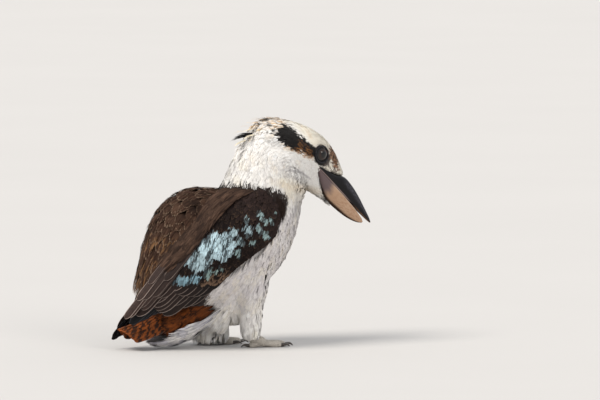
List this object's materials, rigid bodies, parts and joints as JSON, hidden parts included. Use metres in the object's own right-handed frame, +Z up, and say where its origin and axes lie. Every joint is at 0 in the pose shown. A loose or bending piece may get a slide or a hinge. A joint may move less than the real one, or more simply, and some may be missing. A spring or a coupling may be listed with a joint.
{
  "type": "laughing kookaburra",
  "caption": "Still, life-size laughing kookaburra standing on the ground with folded wings and its head bent down, looking at the ground.",
  "frame": {"origin": "on the floor, under the middle of the bird's length and width", "axes": "+X the way the bird faces, +Y to its left, +Z up"},
  "size_m": [0.291, 0.1128, 0.2374],
  "materials": {
    "pale_feathers": "soft cream-white feathers",
    "body_feathers": "soft greyish-white feathers",
    "wing_feathers": "matt blackish-brown flight feathers and coverts with pale blue spangles",
    "back_feathers": "matt dark brown feathers with paler edges",
    "tail_feathers": "rufous feathers barred black",
    "dark_horn": "satin black horn",
    "pale_horn": "satin pale horn",
    "eye": "glossy dark brown",
    "foot_skin": "scaled pale grey skin",
    "claw_horn": "satin dark horn"
  },
  "bodies": {
    "root": {"bill_lower": "pale_horn", "bill_upper": "dark_horn", "claw_left_back": "claw_horn", "claw_left_inner": "claw_horn", "claw_left_middle": "claw_horn", "claw_left_outer": "claw_horn", "claw_right_back": "claw_horn", "claw_right_inner": "claw_horn", "claw_right_middle": "claw_horn", "claw_right_outer": "claw_horn", "eye_left": "eye", "eye_right": "eye", "foot_left": "foot_skin", "foot_right": "foot_skin", "head": "pale_feathers", "leg_left": "body_feathers", "leg_right": "body_feathers", "mantle": "back_feathers", "neck": "pale_feathers", "tail": "tail_feathers", "torso": "body_feathers", "wing_left": "wing_feathers", "wing_right": "wing_feathers"}
  },
  "joints": []
}
